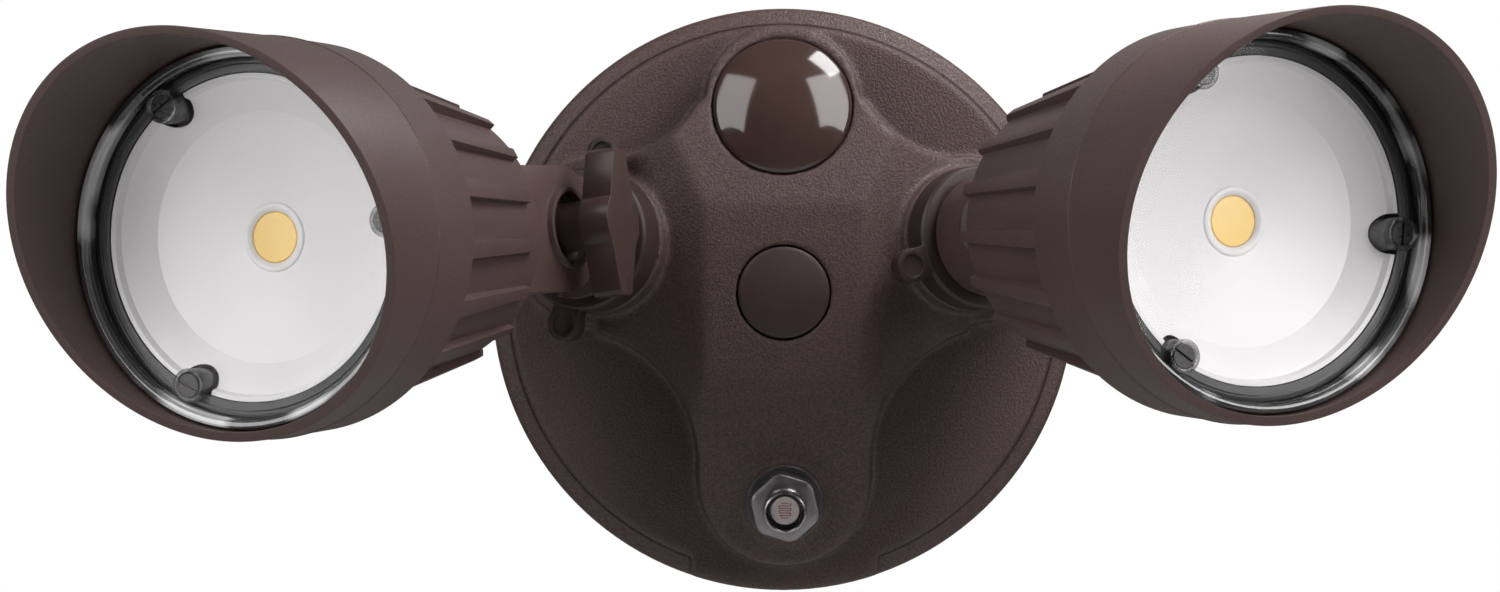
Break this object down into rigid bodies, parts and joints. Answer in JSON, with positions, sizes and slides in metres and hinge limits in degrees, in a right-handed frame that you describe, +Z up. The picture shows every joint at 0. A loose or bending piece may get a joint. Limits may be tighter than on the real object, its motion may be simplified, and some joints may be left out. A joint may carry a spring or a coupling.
{
  "type": "security light",
  "caption": "Twin-head wall security light: round canopy with a cross-shaped hub, hooded finned heads on knuckle arms, domed sensor cover, photocell and screw cap.",
  "frame": {"origin": "centre of the mounting strap's back face, in the wall plane behind the canopy", "axes": "+Z up, -Y out of the wall towards the viewer, +X to the viewer's right"},
  "size_m": [0.2768, 0.1749, 0.12],
  "materials": {
    "bronze_paint": "dark bronze powder coat with a fine sand texture",
    "bronze_fine": "dark bronze powder coat, finer and more matte",
    "bronze_plastic": "dark bronze plastic, semi-matte",
    "bronze_gloss": "dark bronze plastic, glossy",
    "ring_metal": "dark grey bronze, satin",
    "dark_chrome": "dark plated",
    "steel": "zinc plated",
    "green_steel": "green earth-screw finish",
    "clear_plastic": "clear moulded polycarbonate",
    "rubber": "black foam and rubber",
    "white_reflector": "matt white reflector",
    "aluminium": "milled",
    "board_white": "white solder mask",
    "board_green": "green circuit board with parts",
    "phosphor": "yellow-orange phosphor over the light source",
    "sensor_disc": "light-sensing disc with a winding track"
  },
  "bodies": {
    "base": {"canopy": "bronze_paint", "wall_gasket": "rubber", "crossbar": "steel", "mounting_screw": "steel", "ground_screw": "green_steel", "sensor_blank": "bronze_gloss", "blank_nut": "bronze_plastic", "photocell_barrel": "steel", "photocell_nut": "dark_chrome", "photocell_washer": "rubber", "photocell_disc": "sensor_disc", "photocell_window": "clear_plastic"},
    "screw_cap": {"screw_cap": "bronze_plastic"},
    "left_lock_ring": {"left_lock_ring": "ring_metal"},
    "left_arm": {"left_arm": "bronze_fine", "left_tooth_washer": "steel", "left_pivot_bolt": "steel"},
    "left_wing_nut": {"left_wing_nut": "bronze_plastic"},
    "left_head": {"left_housing": "bronze_fine", "left_lens": "clear_plastic", "left_lens_gasket": "rubber", "left_lens_screws": "steel", "left_reflector": "white_reflector", "left_heat_plate": "aluminium", "left_led_board": "board_white", "left_led_disc": "phosphor", "left_led_holder": "white_reflector", "left_driver": "board_green"},
    "left_hood": {"left_hood": "bronze_fine"},
    "right_lock_ring": {"right_lock_ring": "ring_metal"},
    "right_arm": {"right_arm": "bronze_fine", "right_tooth_washer": "steel", "right_pivot_bolt": "steel"},
    "right_wing_nut": {"right_wing_nut": "bronze_plastic"},
    "right_head": {"right_housing": "bronze_fine", "right_lens": "clear_plastic", "right_lens_gasket": "rubber", "right_lens_screws": "steel", "right_reflector": "white_reflector", "right_heat_plate": "aluminium", "right_led_board": "board_white", "right_led_disc": "phosphor", "right_led_holder": "white_reflector", "right_driver": "board_green"},
    "right_hood": {"right_hood": "bronze_fine"}
  },
  "joints": [
    {"name": "screw_cap_pull", "type": "slide", "parent": "base", "child": "screw_cap", "axis": [0, -1, 0], "range_m": [0, 0.012]},
    {"name": "left_lock_ring_turn", "type": "hinge", "parent": "base", "child": "left_lock_ring", "pos_m": [-0.0378, -0.024, 0.0117], "axis": [-0.4529, -0.8888, 0.0698], "range_deg": [0, 60]},
    {"name": "left_swivel", "type": "hinge", "parent": "base", "child": "left_arm", "pos_m": [-0.0378, -0.024, 0.0117], "axis": [-0.4529, -0.8888, 0.0698], "range_deg": [-90, 15]},
    {"name": "left_tilt", "type": "hinge", "parent": "left_arm", "child": "left_head", "pos_m": [-0.04867, -0.04533, 0.01337], "axis": [0.8902, -0.4465, 0.0904], "range_deg": [-30, 55]},
    {"name": "left_wing_nut_turn", "type": "hinge", "parent": "left_arm", "child": "left_wing_nut", "pos_m": [-0.04867, -0.04533, 0.01337], "axis": [0.8902, -0.4465, 0.0904], "continuous": true},
    {"name": "left_hood_turn", "type": "hinge", "parent": "left_head", "child": "left_hood", "pos_m": [-0.09525, -0.12263, 0.01072], "axis": [-0.4464, -0.8946, -0.0223], "continuous": true},
    {"name": "right_lock_ring_turn", "type": "hinge", "parent": "base", "child": "right_lock_ring", "pos_m": [0.0378, -0.024, 0.0117], "axis": [0.4529, -0.8888, 0.0698], "range_deg": [0, 60]},
    {"name": "right_swivel", "type": "hinge", "parent": "base", "child": "right_arm", "pos_m": [0.0378, -0.024, 0.0117], "axis": [0.4529, -0.8888, 0.0698], "range_deg": [-15, 90]},
    {"name": "right_tilt", "type": "hinge", "parent": "right_arm", "child": "right_head", "pos_m": [0.04867, -0.04533, 0.01337], "axis": [0.8909, 0.4481, -0.0748], "range_deg": [-30, 55]},
    {"name": "right_wing_nut_turn", "type": "hinge", "parent": "right_arm", "child": "right_wing_nut", "pos_m": [0.04867, -0.04533, 0.01337], "axis": [0.8909, 0.4481, -0.0748], "continuous": true},
    {"name": "right_hood_turn", "type": "hinge", "parent": "right_head", "child": "right_hood", "pos_m": [0.08259, -0.129, 0.01252], "axis": [0.4482, -0.8938, -0.0155], "continuous": true}
  ]
}
